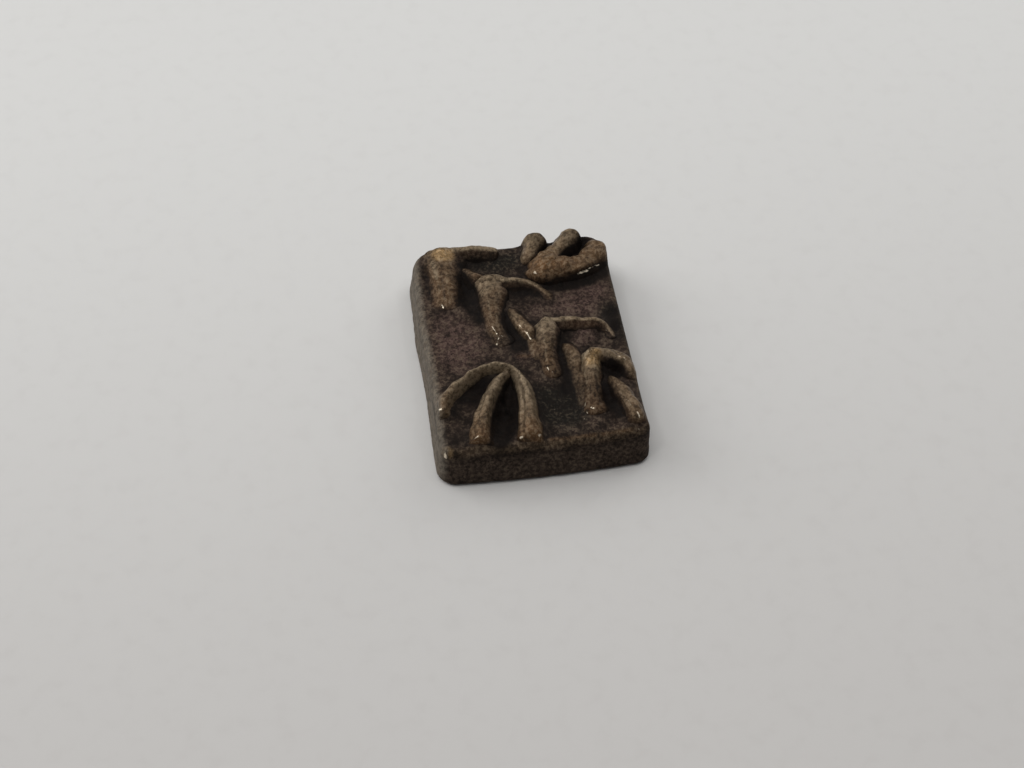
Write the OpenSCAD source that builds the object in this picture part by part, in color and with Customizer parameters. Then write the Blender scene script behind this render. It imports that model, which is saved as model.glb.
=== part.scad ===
// Geometric gold weight: a cast brass slab with applied wax-thread relief.
// Four small three-toed bird's feet step from the back left corner to the front right
// corner, and one larger foot fills each of the two other corners.
// Millimetres. +X is right, +Y is back, +Z is up, with the origin under the middle of the slab.

/* [Slab] */
// Width of the slab, left to right
slab_w = 21; // [19:0.5:30]
// Length of the slab, front to back, over the bowed front edge
slab_l = 28.2; // [25:0.1:36]
// Thickness of the slab
slab_h = 4.3; // [2.5:0.1:8]
// Corner radius of the slab, seen from above
corner_r = 1.8; // [1.8:0.1:4]
// Width of the rolled upper edge, seen from above, on the left, right, front and back
roll_w = [1, 0.8, 0.9, 0.9]; // [0.4:0.1:1]
// Depth of the rolled upper edge on the left, right, front and back
roll_d = [1.5, 1.1, 1.2, 1.2]; // [0.4:0.1:1.5]
// How far the left, right, front and back side lean in under the rolled edge
side_lean = [0.4, 0.2, 0.7, 0.2]; // [0:0.1:0.7]
// Radius of the worn lower edge
foot_r = 0.5; // [0.2:0.1:0.9]
// How far the front edge bows out between its corners
front_bow = 0.4; // [0:0.1:2]

/* [Chain of four feet] */
// First foot's corner, from the slab's left side
chain_from_left = 4; // [3:0.1:6]
// First foot's corner, from the slab's back
chain_from_back = 1.4; // [1:0.1:3]
// Last foot's corner, from the slab's right side
chain_from_right = 4.2; // [3:0.1:6]
// Last foot's corner, from the front corners
chain_from_front = 10.1; // [8:0.1:11]
// How far the arms droop towards the right, in degrees
arm_droop = 9; // [0:1:15]
// How far the legs lean to the left towards the front, in degrees
leg_lean = 5; // [0:1:12]
// Length of each foot's leg, from the first foot to the last
leg_len = [7.1, 8.6, 6.6, 7.3]; // [4:0.1:9]
// Width of each leg
leg_w = [2.9, 2.2, 2.0, 2.1]; // [1.2:0.1:3.2]
// Height of each leg above the slab
leg_h = [1.7, 1.6, 1.6, 2.0]; // [1:0.1:3]
// Reach of each foot's arm to the right
arm_len = [5.3, 5.9, 6.0, 3.4]; // [2.5:0.1:8]
// How far each arm's tip hooks towards the front
arm_hook = [0.2, 2.5, 1.9, 1.6]; // [0:0.1:3]
// Width of each arm
arm_w = [1.6, 1.3, 1.4, 1.6]; // [1:0.1:2.6]
// Height of each arm above the slab
arm_h = [1.6, 1.3, 1.3, 1.6]; // [0.8:0.1:2.6]
// Start of each spur, right of its foot's corner
spur_in = [2.2, 2.5, 1.8, 1.8]; // [1:0.1:3.5]
// Start of each spur, in front of its foot's corner
spur_down = [2.0, 4.3, 3.0, 2.4]; // [1:0.1:5]
// How far the first three spurs run along the next foot's leg
spur_tail = [0.2, 4.8, 5.9]; // [0.2:0.1:6]
// End of the last spur, from the slab's right side and from the front corners
last_spur_end = [1.2, 1.2]; // [0.5:0.1:3]
// Width of each spur
spur_w = [1.2, 1.5, 1.4, 1.8]; // [0.8:0.1:2.2]
// Height of each spur above the slab
spur_h = [1.1, 1.3, 1.3, 1.7]; // [0.6:0.1:2.4]

/* [Front left foot] */
// Where the three toes meet, from the left side
front_apex_in = 8.2; // [6:0.1:10]
// Where the three toes meet, from the front corners
front_apex_up = 9.3; // [7:0.1:10]
// End of the left toe, from the front corners
front_left_end = 4.1; // [3:0.1:6]
// End of the middle toe, from the left side
front_middle_end = 3.8; // [3:0.1:6]
// End of the right toe, from the left side
front_right_end = 9.2; // [8:0.1:11]
// Width of the left, middle and right toe
front_toe_w = [1.9, 1.7, 1.9]; // [1:0.1:2.6]
// Height of the left, middle and right toe
front_toe_h = [1.8, 1.8, 1.9]; // [1:0.1:3]

/* [Back right foot] */
// Where the three toes meet, from the right side
back_apex_in = 7.8; // [6:0.1:10]
// Where the three toes meet, from the back
back_apex_up = 6.0; // [4:0.1:7]
// End of the left toe, from the right side
back_left_end = 7.1; // [6:0.1:9]
// End of the middle toe, from the right side
back_middle_end = 3.6; // [2.5:0.1:5]
// End of the right toe, from the back
back_right_end = 2.6; // [2:0.1:4]
// Width of the left, middle and right toe
back_toe_w = [2.6, 2.3, 2.5]; // [1:0.1:3]
// Height of the left, middle and right toe
back_toe_h = [2.0, 2.1, 2.0]; // [1:0.1:3]

/* [Hidden] */

slab_color = "#4b4038";
leg_color = "#8a775c";
arm_color = "#94805f";
spur_color = "#7a6853";
toe_color = "#8f7b5d";

// Sides of the slab. The front corners lie behind the bow.
left = -slab_w / 2;
right = slab_w / 2;
back = slab_l / 2;
front = front_bow - slab_l / 2;

// How far a thread's blank reaches under the slab's top before it is fitted to the slab
sink = 2;
// How far the slab's blank reaches under the floor before it is cut flat
trim = 1;
// Height over the slab's top that no thread reaches
headroom = 5;
// How far every thread stays inside the rolled edge's outer line
side_inset = 0.1;
// How far a toe's blunt end stands back from the slab's side or back, and from its front
toe_setback = 0.4;
front_setback = 0.9;
// Share of a thread's width and height that its blunt ends keep
end_share = 0.5;
// Points over a thread's arch, and rings along a thread
arc_steps = 8;
ring_steps = 12;
// Points round a slab corner, along the bowed edge and up a rounded edge
corner_steps = 6;
bow_steps = 10;
edge_steps = 4;

function mix(a, b, t) = a + (b - a) * t;

// Point, and then direction, at share t of a curve with four control points
function curve_point(p, t) =
    pow(1 - t, 3) * p[0] + 3 * pow(1 - t, 2) * t * p[1]
    + 3 * (1 - t) * pow(t, 2) * p[2] + pow(t, 3) * p[3];
function curve_slope(p, t) =
    pow(1 - t, 2) * (p[1] - p[0]) + 2 * (1 - t) * t * (p[2] - p[1]) + pow(t, 2) * (p[3] - p[2]);

// Rings crowd towards both ends of a thread, where it rounds off
function ring_share(i) = (1 - cos(180 * i / ring_steps)) / 2;
function end_round(i) = mix(end_share, 1, sqrt(min(1, 4 * min(i, ring_steps - i) / ring_steps)));

// One arched section, up the left flank, over the crest and down the right flank
function section_points(centre, slope, w, h) =
    let (
        side = [slope[1], -slope[0]] / norm(slope),
        arch = [
            for (k = [0 : arc_steps])
                let (a = 180 - 180 * k / arc_steps)
                [w / 2 * cos(a), h * sin(a)]
        ]
    )
    [
        for (q = concat([[-w / 2, -sink]], arch, [[w / 2, -sink]]))
            [centre[0] + side[0] * q[0], centre[1] + side[1] * q[0], slab_h + q[1]]
    ];

// Faces of a skin through rings of equal size, closed at both ends
function skin_faces(ring_count, ring_size) = concat(
    [[for (k = [0 : ring_size - 1]) k]],
    [
        for (i = [0 : ring_count - 2], k = [0 : ring_size - 1])
            let (
                a = i * ring_size + k,
                b = i * ring_size + (k + 1) % ring_size
            )
            each [[a, a + ring_size, b], [b, a + ring_size, b + ring_size]]
    ],
    [[for (k = [ring_size - 1 : -1 : 0]) (ring_count - 1) * ring_size + k]]
);

// A thread's blank: the arch carried along a curve, with the far end flared or drawn in
module thread(path, w, h, flare = 1) {
    rings = [
        for (i = [0 : ring_steps])
            let (
                t = ring_share(i),
                e = end_round(i)
            )
            section_points(curve_point(path, t), curve_slope(path, t), w * e * mix(1, flare, t), h * e)
    ];
    polyhedron([for (r = rings) each r], skin_faces(len(rings), len(rings[0])));
}

// The slab's outline from above, with an inset and a height for the left, right, front and back.
// Its corners are quarter ellipses, and its front edge bows out.
every_side = [1, 1, 1, 1];
function bow_at(x) = front_bow * (1 - pow(2 * x / slab_w, 2));
function slab_ring(insets, heights) =
    let (
        cx = right - corner_r,
        centres = [
            [cx, front + corner_r], [cx, back - corner_r],
            [-cx, back - corner_r], [-cx, front + corner_r]
        ],
        corners = [
            for (c = [0 : 3], k = [0 : corner_steps]) [centres[c], 90 * (c - 1) + 90 * k / corner_steps]
        ],
        front_edge = [for (k = [1 : bow_steps - 1]) [[mix(-cx, cx, k / bow_steps), front + corner_r], -90]]
    )
    [
        for (turn = concat(corners, front_edge))
            let (
                a = turn[1],
                side = cos(a) < 0 ? 0 : 1,
                end = sin(a) < 0 ? 2 : 3,
                x = turn[0][0] + (corner_r - insets[side]) * cos(a),
                y = turn[0][1] + (corner_r - insets[end]) * sin(a)
            )
            [x, y < 0 ? y - bow_at(x) : y, mix(heights[side], heights[end], pow(sin(a), 2))]
    ];

// The slab's blank: outlines stacked from the worn lower edge to the rolled upper edge
module slab_blank() {
    lower = [
        for (k = [1 : edge_steps])
            let (a = 90 * k / edge_steps)
            slab_ring(foot_r * (1 - sin(a)) * every_side, foot_r * (1 - cos(a)) * every_side)
    ];
    upper = [
        for (k = [0 : edge_steps])
            let (a = 90 * k / edge_steps)
            slab_ring(side_lean + (1 - cos(a)) * roll_w, slab_h * every_side - (1 - sin(a)) * roll_d)
    ];
    rings = concat([slab_ring(foot_r * every_side, -trim * every_side)], lower, upper);
    polyhedron([for (r = rings) each r], skin_faces(len(rings), len(rings[0])));
}

// Corner of foot i, and the point that lies u along its arm and v along its leg
last_foot = len(leg_len) - 1;
foot_nudge = [[0, 0], [-0.2, 0.8], [0.5, -0.3], [0, 0]];
chain_start = [left + chain_from_left, back - chain_from_back];
chain_end = [right - chain_from_right, front + chain_from_front];
function foot_corner(i) = mix(chain_start, chain_end, i / last_foot) + foot_nudge[i];
function foot_point(i, u, v) =
    foot_corner(i) + u * [cos(arm_droop), -sin(arm_droop)] - v * [sin(leg_lean), cos(leg_lean)];

// A leg is straight, from the back of its arm
leg_flare = [0.85, 1, 1, 1];
function leg_path(i) =
    let (head = -arm_w[i] / 2)
    [for (k = [0 : 3]) foot_point(i, 0, mix(head, leg_len[i], k / 3))];

// An arm runs straight for a share of its reach, and bends fully once its hook is long enough
arm_straight = 0.55;
full_hook = 1.5;
arm_flare = 0.8;
function arm_bend(i) = mix((1 + arm_straight) / 2, 1, min(1, arm_hook[i] / full_hook));
function arm_path(i) = [
    foot_point(i, 0, 0),
    foot_point(i, arm_straight * arm_len[i], 0),
    foot_point(i, arm_bend(i) * arm_len[i], 0),
    foot_point(i, arm_len[i], arm_hook[i])
];

// A spur bends to press against the next leg, and the last one bulges towards the slab's side
spur_press = 0.4;
spur_elbow = 0.35;
last_spur_elbow = 0.6;
last_spur_offset = [0.5, 0.3];
spur_flare = [0.8, 0.6, 0.6, 1.1];
function spur_gap(i) = (leg_w[i + 1] + spur_w[i]) / 2 - spur_press;
function spur_path(i) =
    let (
        start = foot_point(i, spur_in[i], spur_down[i]),
        end = i < last_foot
            ? foot_point(i + 1, -spur_gap(i), spur_tail[i])
            : [right - last_spur_end[0], front + last_spur_end[1]],
        elbow = i < last_foot
            ? foot_point(i + 1, -spur_gap(i), spur_elbow * spur_tail[i])
            : mix(start, end, last_spur_elbow) + last_spur_offset
    )
    [start, (start + elbow) / 2, elbow, end];

// A toe's curve, from the pull at its start and the pull at its tip
function toe_path(start, leave, arrive, tip) = [start, start + leave, tip + arrive, tip];

// The front foot's toes leave the apex and end at the left side and at the front edge
front_apex = [left + front_apex_in, front + front_apex_up];
function front_end(x) = [x, front - bow_at(x) + front_setback];
front_toe_start = [front_apex, front_apex + [-0.2, -0.3], front_apex];
front_toe_leave = [[-3.0, 1.2], [-2.2, -1.2], [1.7, -1.3]];
front_toe_arrive = [[1.0, 3.9], [1.4, 3.7], [1.2, 3.9]];
front_toe_tip = [
    [left + toe_setback + front_toe_w[0] / 4, front + front_left_end],
    front_end(left + front_middle_end),
    front_end(left + front_right_end)
];
front_toe_flare = [1.15, 1.6, 1.25];

// The back foot's toes leave the apex and end at the back edge and at the right side
back_apex = [right - back_apex_in, back - back_apex_up];
back_toe_start = [back_apex + [-0.9, 1.3], back_apex, back_apex + [0.5, -0.4]];
back_toe_leave = [[0.3, 1.2], [1.4, 1.3], [2.3, 0.1]];
back_toe_arrive = [[-0.4, -1.2], [-0.8, -2.2], [-1.8, -2.0]];
back_toe_tip = [
    [right - back_left_end, back - toe_setback],
    [right - back_middle_end, back - toe_setback],
    [right - toe_setback, back - back_right_end]
];
back_toe_flare = [1, 1.2, 1];

module leg_blank(i) thread(leg_path(i), leg_w[i], leg_h[i], leg_flare[i]);
module arm_blank(i) thread(arm_path(i), arm_w[i], arm_h[i], arm_flare);
module spur_blank(i) thread(spur_path(i), spur_w[i], spur_h[i], spur_flare[i]);
module front_toe_blank(k) {
    path = toe_path(front_toe_start[k], front_toe_leave[k], front_toe_arrive[k], front_toe_tip[k]);
    thread(path, front_toe_w[k], front_toe_h[k], front_toe_flare[k]);
}
module back_toe_blank(k) {
    path = toe_path(back_toe_start[k], back_toe_leave[k], back_toe_arrive[k], back_toe_tip[k]);
    thread(path, back_toe_w[k], back_toe_h[k], back_toe_flare[k]);
}

// Keeps a thread's blank inside the slab's rolled edge and above its top
module fit_to_slab() {
    limit = slab_ring(side_lean + side_inset * every_side, every_side);
    difference() {
        intersection() {
            children();
            linear_extrude(slab_h + headroom) polygon([for (q = limit) [q[0], q[1]]]);
        }
        slab_blank();
    }
}

// The slab stands on a flat underside
module base_slab() {
    color(slab_color)
    difference() {
        slab_blank();
        translate([-slab_w, -slab_l, -2 * trim]) cube([2 * slab_w, 2 * slab_l, 2 * trim]);
    }
}

// Each thread is fitted to the slab and stops against the threads that it meets
module leg(i) {
    color(leg_color)
    fit_to_slab() leg_blank(i);
}

module arm(i) {
    color(arm_color)
    difference() {
        fit_to_slab() arm_blank(i);
        leg_blank(i);
    }
}

module spur(i) {
    color(spur_color)
    difference() {
        fit_to_slab() spur_blank(i);
        for (j = [i : min(i + 1, last_foot)]) {
            leg_blank(j);
            arm_blank(j);
        }
    }
}

// The outer toes of the front foot overlie the middle one
front_toe_under = [[], [0, 2], [0]];
module front_toe(k) {
    color(toe_color)
    difference() {
        fit_to_slab() front_toe_blank(k);
        for (j = front_toe_under[k]) front_toe_blank(j);
    }
}

// The middle toe of the back foot overlies the outer ones, and all three stop at the arm beside them
back_toe_under = [[1], [], [1]];
arm_beside = 1;
module back_toe(k) {
    color(toe_color)
    difference() {
        fit_to_slab() back_toe_blank(k);
        for (j = back_toe_under[k]) back_toe_blank(j);
        arm_blank(arm_beside);
    }
}

toe_names = ["left", "middle", "right"];

base_slab();
for (i = [0 : last_foot]) {
    leg(i);
    arm(i);
    spur(i);
}
for (k = [0 : len(toe_names) - 1]) {
    front_toe(k);
    back_toe(k);
}
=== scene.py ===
import bpy
import numpy as np
from mathutils import Matrix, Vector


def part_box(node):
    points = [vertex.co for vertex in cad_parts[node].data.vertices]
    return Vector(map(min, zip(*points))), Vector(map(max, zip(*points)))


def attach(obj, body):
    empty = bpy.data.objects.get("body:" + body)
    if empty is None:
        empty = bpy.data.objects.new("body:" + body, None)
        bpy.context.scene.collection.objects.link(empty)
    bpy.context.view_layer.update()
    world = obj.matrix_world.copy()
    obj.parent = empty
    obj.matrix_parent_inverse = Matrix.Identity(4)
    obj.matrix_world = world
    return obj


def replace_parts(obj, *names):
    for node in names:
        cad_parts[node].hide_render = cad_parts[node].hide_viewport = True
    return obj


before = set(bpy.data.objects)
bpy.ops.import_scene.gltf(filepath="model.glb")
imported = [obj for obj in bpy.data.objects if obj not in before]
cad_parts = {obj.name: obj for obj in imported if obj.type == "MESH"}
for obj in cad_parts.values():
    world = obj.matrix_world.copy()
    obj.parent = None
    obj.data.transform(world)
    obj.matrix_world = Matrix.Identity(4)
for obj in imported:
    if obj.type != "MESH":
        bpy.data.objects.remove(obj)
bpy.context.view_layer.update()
mm = 0.001  # shapes are worked out in millimetres
tiny = 1e-9  # keeps divisions away from zero
slabLow, slabHigh = (np.array(corner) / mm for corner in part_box("base_slab"))
slabTop = slabHigh[2]
print("frame:", len(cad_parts), "nodes, slab", np.round(slabHigh - slabLow, 2), "mm")


def ease(value, start, end):
    # smooth step: 0 before start, 1 after end, level at both
    t = np.clip((value - start) / (end - start), 0, 1)
    return t * t * (3 - 2 * t)


def unevenness(x, y, cell, seed):
    # value noise: random levels from -1 to 1 on a square lattice, eased between the corners of each cell
    size = 64
    levels = np.random.default_rng(seed).uniform(-1, 1, (size, size))
    i, j = np.floor(x / cell).astype(int), np.floor(y / cell).astype(int)
    u, v = ease(x / cell - i, 0, 1), ease(y / cell - j, 0, 1)
    near = levels[i % size, j % size] * (1 - u) + levels[(i + 1) % size, j % size] * u
    far = levels[i % size, (j + 1) % size] * (1 - u) + levels[(i + 1) % size, (j + 1) % size] * u
    return near * (1 - v) + far * v


def wobble(x, y, amount, cell, seed):
    # the value noise times an amount
    return amount * unevenness(x, y, cell, seed)


def softSpots(x, y, spots):
    # sum of round bumps: amount * exp(-(distance / reach)^2) for each spot (x, y, reach, amount)
    total = np.zeros(np.shape(x))
    for spotX, spotY, reach, amount in spots:
        total += amount * np.exp(-((x - spotX) ** 2 + (y - spotY) ** 2) / reach ** 2)
    return total


def softStrokes(x, y, strokes):
    # the same fall-off from short straight strokes (x, y, x, y, reach, amount)
    total = np.zeros(np.shape(x))
    for fromX, fromY, toX, toY, reach, amount in strokes:
        runX, runY = toX - fromX, toY - fromY
        t = np.clip(((x - fromX) * runX + (y - fromY) * runY) / (runX ** 2 + runY ** 2), 0, 1)
        total += amount * np.exp(-((x - fromX - t * runX) ** 2 + (y - fromY - t * runY) ** 2) / reach ** 2)
    return total


# slab

slab = {
    "corner": 1.8, "foot": 0.5,  # radii of the corners and of the worn lower edge
    "bow": 0.4, "bowRun": (2, 11),  # how far the front bows out, and the stretch where it grows
    "leftWave": [(13.4, 0.15, 1.8), (4.8, -0.15, 2.4), (-3.0, 0.1, 4.0)],  # y, shift to the right, reach
    "rightWave": [(-13.6, 0.3, 1.6)],
    "waveRun": (5, 10),  # stretch beside the middle over which the waves grow
    # these five are for the left, right, front and back side
    "lean": (0.4, 0.05, 0.7, 0.2), "rollWidth": (1.0, 0.6, 0.9, 0.9), "rollDepth": (1.5, 0.9, 1.2, 1.2),
    "worn": (0.3, 0.3, 0.62, 0.4),
    "keep": (0.45, 0.1, 0.1, 0.1),  # how far the threads stay inside the rolled edge's outer line
    "spacing": 0.115, "edgeSteps": 18, "sideSteps": 12, "footSteps": 5,
    "flat": 0.2,  # share of the edge steps before the roll begins
    "bumps": [  # x, y, reach, height; a negative height is a hollow
        (-2.3, -5.6, 0.7, -0.5), (-2.8, -7.2, 0.9, -0.7), (-3.3, -9.0, 1.0, -0.8),
        (-3.8, -10.8, 1.0, -0.6), (-2.9, -8.2, 0.3, 0.4), (-3.3, -7.0, 0.3, 0.3), (-8.9, 10.6, 0.6, -0.2),
        (-8.9, 9.6, 0.6, -0.2), (-8.8, 8.6, 0.6, -0.2), (-8.7, 7.6, 0.6, -0.2), (-8.6, 6.6, 0.6, -0.15),
        (-5.0, 8.8, 0.8, -0.4), (-5.0, 7.4, 0.9, -0.4), (-4.9, 6.0, 0.8, -0.3), (-9.3, 12.4, 1.3, 0.3),
        (6.2, -0.2, 1.2, 0.35), (9.3, 2.8, 0.9, -0.4), (9.4, 0.6, 0.9, -0.35), (8.6, -5.0, 0.8, -0.5),
        (7.2, -8.6, 0.7, -0.4), (-1.1, 1.2, 0.8, -0.35), (-5.7, -5.6, 0.9, -0.4), (2.4, -8.2, 2.2, -0.35),
        (2.0, -11.4, 1.0, 0.12), (5.0, -12.0, 1.2, 0.15), (8.0, -12.2, 1.0, 0.15),
        (-9.4, -12.9, 0.9, 0.25), (-0.6, -1.9, 0.7, 0.2), (1.2, -2.2, 0.6, 0.15), (4.4, 9.0, 1.0, 0.5),
        (7.2, 11.8, 1.0, -0.5), (8.4, 13.5, 0.7, 0.7), (9.4, 12.9, 0.8, 0.6),
    ],
    # height, cell and seed of each unevenness
    "swell": (0.12, 4.0, 1), "ripple": (0.07, 1.3, 2), "grain": (0.035, 0.35, 3),
    "dents": [(0.07, 1.6, 4), (0.03, 0.5, 5)], "underside": (0.08, 2.5, 6),
    "calmEdge": 1.2, "grainLoss": 0.8,  # width where the bumps fade out, and grain lost at the outline
    "turnLength": 18,  # length of wall that stands for one radian
    "dentFade": (0.8, 0.6),  # height over which the dents fade out, above and below
    "underRings": (0.9, 0.75, 0.55, 0.35, 0.15),  # the underside's rings, as shares of the outline
    "restRim": 0.2, "underMiddle": 0.02,  # share over which the underside deepens, and height of its middle
    # wax pressed up against the threads: share, reach, and depths below the top where it begins and is full
    "smear": 0.5, "smearReach": 0.4, "smearFrom": (1.0, 0.4),
}
halfW, halfL = (slabHigh - slabLow)[:2] / 2
middleY = slab["bow"] / 2  # the front corners lie behind the bow
coreW, coreL = halfW - slab["corner"], halfL - middleY - slab["corner"]


def slabShift(x, y):
    # how far the plain rounded box is moved: the front half bows out, and the left and right sides wave
    bow = slab["bow"] * (1 - (x / halfW) ** 2) * ease(-y, *slab["bowRun"])
    left, right = (sum(amount * np.exp(-((y - at) / reach) ** 2) for at, amount, reach in slab[key])
                   for key in ("leftWave", "rightWave"))
    return left * ease(-x, *slab["waveRun"]) + right * ease(x, *slab["waveRun"]), -bow


def edgeAt(x, y):
    # distance in from the slab's outline and the way out to it, by the rounded box formula
    shiftX, shiftY = slabShift(x, y)
    boxX, boxY = x - shiftX, y - shiftY - middleY
    pastX, pastY = np.abs(boxX) - coreW, np.abs(boxY) - coreL
    cornerX, cornerY = np.maximum(pastX, 0), np.maximum(pastY, 0)
    past = np.hypot(cornerX, cornerY)
    inside = slab["corner"] - past - np.minimum(np.maximum(pastX, pastY), 0)
    beyond = past > 0
    scale = np.maximum(past, tiny)
    wayX = np.sign(boxX) * np.where(beyond, cornerX / scale, pastX > pastY)
    wayY = np.sign(boxY) * np.where(beyond, cornerY / scale, pastX <= pastY)
    return inside, wayX, wayY


def bySide(sides, wayX, wayY):
    # the left or right value, and the front or back value, that the way out points to
    left, right, front, back = sides
    return np.where(wayX < 0, left, right), np.where(wayY < 0, front, back)


def sideBlend(sides, wayX, wayY):
    # both values, blended round the corners by the square of the way out
    across, along = bySide(sides, wayX, wayY)
    return across * wayX ** 2 + along * wayY ** 2


def pressedFloor(x, y):
    # height that the slab's top gains or loses by its bumps and its uneven rolling
    rise = softSpots(x, y, slab["bumps"])
    rise += wobble(x, y, *slab["swell"]) + wobble(x, y, *slab["ripple"])
    return rise * ease(edgeAt(x, y)[0], 0, slab["calmEdge"])


def floorHeight(x, y):
    # the slab's top: level inside, and a quarter ellipse down over its rolled edge
    inside, wayX, wayY = edgeAt(x, y)
    lean, width, depth = (sideBlend(slab[key], wayX, wayY) for key in ("lean", "rollWidth", "rollDepth"))
    past = np.clip(1 - (inside - lean) / width, 0, 1)
    return slabTop - depth * (1 - np.sqrt(1 - past ** 2)) + pressedFloor(x, y)


def keptInside(x, y):
    # points that pass the rolled edge's outer line go straight back in
    inside, wayX, wayY = edgeAt(x, y)
    lean, keep = (sideBlend(slab[key], wayX, wayY) for key in ("lean", "keep"))
    back = np.maximum(lean + keep - inside, 0)
    return x - wayX * back, y - wayY * back


def slabForm():
    # top: a grid over the rounded box whose outer steps run down the rolled edge,
    # with the corners turned from square to disc
    edge = np.linspace(0, 1, slab["edgeSteps"] + 1)[1:]

    def axis(low, high):
        # even places along the straight part, with the edge steps held at its two ends
        core = np.linspace(low, high, int((high - low) / slab["spacing"]))
        places = np.concatenate([np.full(edge.size, low), core, np.full(edge.size, high)])
        return places, np.concatenate([-edge[::-1], np.zeros(core.size), edge])

    (coreX, edgeX), (coreY, edgeY) = axis(-coreW, coreW), axis(middleY - coreL, middleY + coreL)
    coreX, coreY = np.meshgrid(coreX, coreY)
    edgeX, edgeY = np.meshgrid(edgeX, edgeY)
    share = np.maximum(np.abs(edgeX), np.abs(edgeY))
    length = np.maximum(np.hypot(edgeX, edgeY), tiny)
    outX, outY = edgeX / length, edgeY / length
    flat = slab["flat"]
    start = np.clip(share / flat, 0, 1)
    turn = np.clip((share - flat) / (1 - flat), 0, 1) * np.pi / 2

    def edgeRun(lean, width, depth):
        # reach out from the corner's middle and drop below the top, for one side
        reach = (slab["corner"] - lean - width) * start + width * np.sin(turn)
        return reach, depth * (1 - np.cos(turn))

    def placed(reachX, reachY, height, pick):
        # core place plus way out times reach, then the bow and the waves
        x, y = coreX[pick] + outX[pick] * reachX, coreY[pick] + outY[pick] * reachY
        shiftX, shiftY = slabShift(x, y)
        return np.stack([x + shiftX, y + shiftY, np.broadcast_to(height, x.shape)], -1)

    edges = [bySide(slab[key], outX, outY) for key in ("lean", "rollWidth", "rollDepth")]
    (reachX, dropX), (reachY, dropY) = (edgeRun(*(values[k] for values in edges)) for k in (0, 1))
    top = placed(reachX, reachY, slabTop - dropX * outX ** 2 - dropY * outY ** 2, ...)
    top[..., 2] += pressedFloor(top[..., 0], top[..., 1])
    grainKept = 1 - slab["grainLoss"] * np.clip(share, 0, 1)
    top[..., 2] += wobble(top[..., 0], top[..., 1], *slab["grain"]) * grainKept
    rows, columns = share.shape
    index = np.arange(rows * columns).reshape(rows, columns)
    loop = np.concatenate([index[0, :-1], index[:-1, -1], index[-1, :0:-1], index[:0:-1, 0]])
    pick = np.unravel_index(loop, share.shape)

    # sides: the outline carried down, round the worn foot and in under the slab to its middle
    wall = slabTop - sideBlend(slab["rollDepth"], outX, outY)[pick]
    leanX, leanY = (lean[pick] for lean in edges[0])
    rings = []
    for t in np.linspace(1, 0, slab["sideSteps"] + 1)[1:]:
        height = slab["foot"] + (wall - slab["foot"]) * t
        rings.append(placed(slab["corner"] - leanX * t, slab["corner"] - leanY * t, height, pick))
    for a in np.linspace(0, np.pi / 2, slab["footSteps"] + 1)[1:]:
        reach = slab["corner"] - slab["foot"] * (1 - np.cos(a))
        rings.append(placed(reach, reach, slab["foot"] * (1 - np.sin(a)), pick))
    rings = np.stack(rings)
    around = np.arctan2(rings[..., 1] / halfL, rings[..., 0] / halfW) * slab["turnLength"]
    push = sum(wobble(around, rings[..., 2], *dent) for dent in slab["dents"])
    above, below = slab["dentFade"]
    fade = ease(wall - rings[..., 2], 0, above) * ease(rings[..., 2], 0, below)
    rings[..., 0] -= np.abs(push) * fade * outX[pick]
    rings[..., 1] -= np.abs(push) * fade * outY[pick]
    under = []
    for shrink in slab["underRings"]:
        ring = rings[-1] * np.array([shrink, shrink, 0])
        hollow = np.abs(wobble(ring[:, 0], ring[:, 1], *slab["underside"]))
        ring[:, 2] = hollow * ease(1 - shrink, 0, slab["restRim"])
        under.append(ring)
    rings = np.concatenate([rings, under])

    points = np.concatenate([top.reshape(-1, 3), rings.reshape(-1, 3), [[0, 0, slab["underMiddle"]]]])
    ids = np.concatenate([loop[None], top.size // 3 + np.arange(rings.size // 3).reshape(rings.shape[:2])])
    after = np.roll(ids, -1, axis=1)
    topFaces = np.stack([index[:-1, :-1], index[:-1, 1:], index[1:, 1:], index[1:, :-1]], -1)
    sideFaces = np.stack([ids[:-1], ids[1:], after[1:], after[:-1]], -1)
    middle = np.full(loop.size, len(points) - 1)
    fan = np.stack([after[-1], ids[-1], middle], -1)
    faces = [topFaces.reshape(-1, 4), sideFaces.reshape(-1, 4), fan]
    return {"points": points, "faces": faces, "marks": {}}


# threads

threadForm = {  # what a thread has where its own dictionary doesn't say
    "turn": 104, "aroundSteps": 45,  # degrees that the arch turns to each side, and points round it
    "spacing": 0.11, "endSteps": 10,  # distance between rings, and steps round an end
    "courseSteps": 200,  # steps that measure the path
    "blunt": (2.4, 2.4), "square": 2,  # powers that round the two ends and the arch
    "foot": 0.5,  # how far the foot spreads
    "sink": 0.5,  # how far the closed underside lies below the slab's top
    "swell": (0.13, 1.0), "ripple": (0.05, 0.4), "rippleSeed": 100,  # share and cell of each unevenness
    # shares of the height over which the rub with its painted light comes in and the painted shade at the
    # foot goes out
    "lit": (0.3, 0.75), "creaseShade": (0.0, 0.5),
    "lean": 0,  # degrees that the rubbed side with its painted light is turned to the right of the path; the painted shade turns half as far
    "rub": (1, 1), "pale": (0, 0), "rust": (0, 0),  # wear and tints along the thread
    "marks": [],  # place along, place round in degrees, spread along, spread round, height as a share
}


def pathThrough(points, run):
    # cubic curve through the points by chord length; the slope at a point comes from its neighbours
    points = np.array(points, float)
    chord = np.concatenate([[0], np.cumsum(np.hypot(*np.diff(points, axis=0).T))])
    slope = np.gradient(points, chord, axis=0)
    at = run * chord[-1]
    k = np.clip(np.searchsorted(chord, at, side="right") - 1, 0, len(chord) - 2)
    span = (chord[k + 1] - chord[k])[:, None]
    t = (at - chord[k])[:, None] / span
    place = (2 * t**3 - 3 * t**2 + 1) * points[k] + (t**3 - 2 * t**2 + t) * span * slope[k]
    place += (3 * t**2 - 2 * t**3) * points[k + 1] + (t**3 - t**2) * span * slope[k + 1]
    return place


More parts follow.
